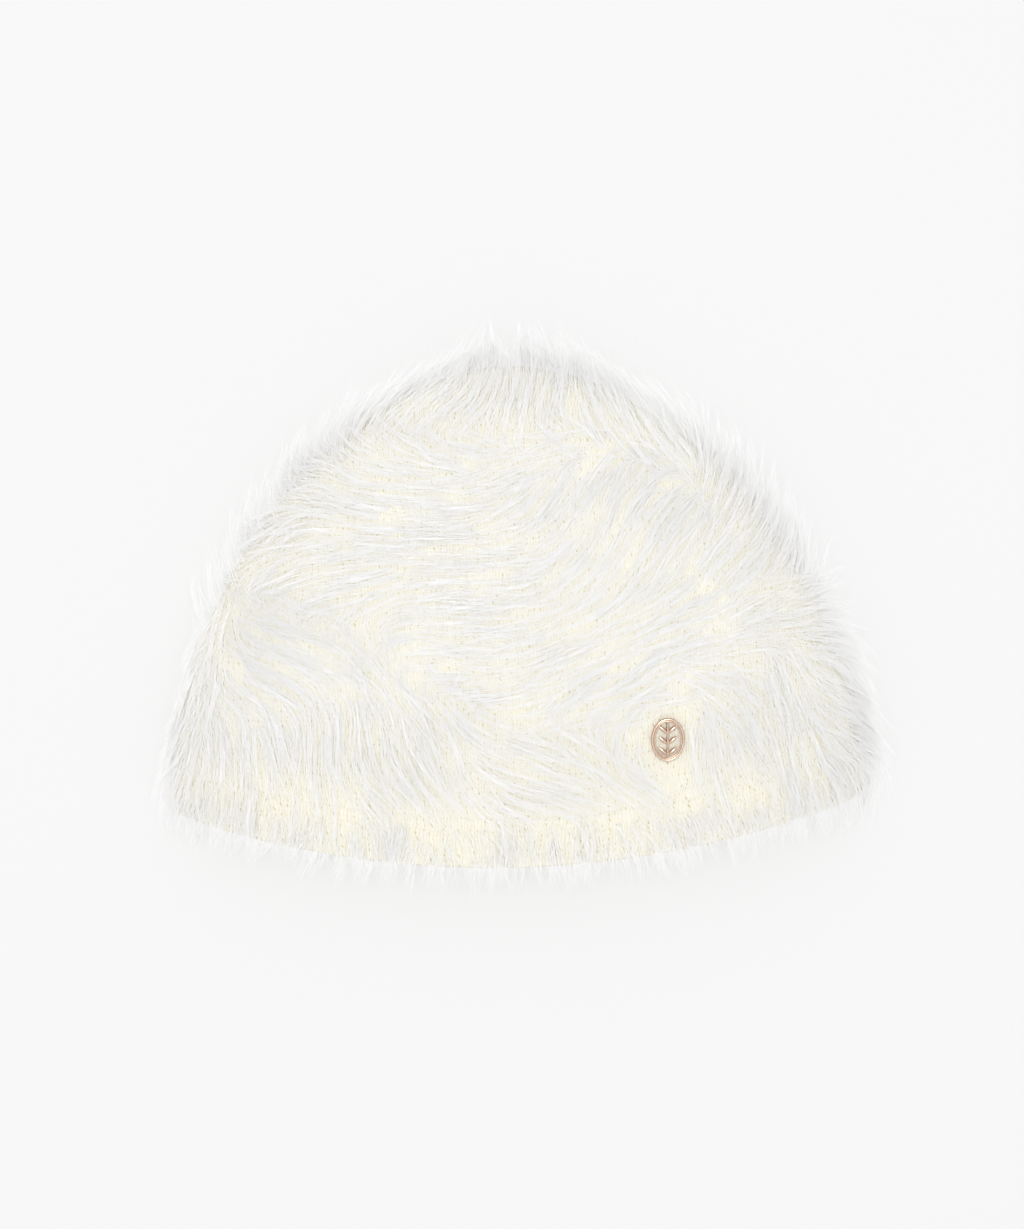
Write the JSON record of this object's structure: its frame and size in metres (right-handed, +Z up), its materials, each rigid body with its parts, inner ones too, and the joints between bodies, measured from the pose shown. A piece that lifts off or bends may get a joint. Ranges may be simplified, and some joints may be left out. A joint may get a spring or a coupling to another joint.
{
  "type": "long-haired knitted beanie",
  "caption": "Dome-shaped knitted beanie with long combed pile, a ribbed hem band and a small oval metal badge, lying flat on its back.",
  "frame": {"origin": "on the flat of the underside, on the middle line, about half way between the crown's tip and the hem", "axes": "+Z up out of the front panel that faces up as the hat lies on its back, +Y from the hem to the crown's tip, +X to the right of the front panel as the camera sees it, towards the side with the badge"},
  "size_m": [0.2559, 0.1919, 0.0459],
  "materials": {
    "cream_knit": "cream plain knit, matte",
    "cream_rib_knit": "cream rib knit, matte",
    "white_pile": "ivory-white long pile, soft sheen",
    "rose_gold": "polished rose-gold plate",
    "clinch_metal": "plain dull metal"
  },
  "bodies": {
    "root": {"knit_crown": "cream_knit", "hem_band": "cream_rib_knit", "fur": "white_pile", "badge": "rose_gold", "badge_prongs": "clinch_metal"}
  },
  "joints": []
}
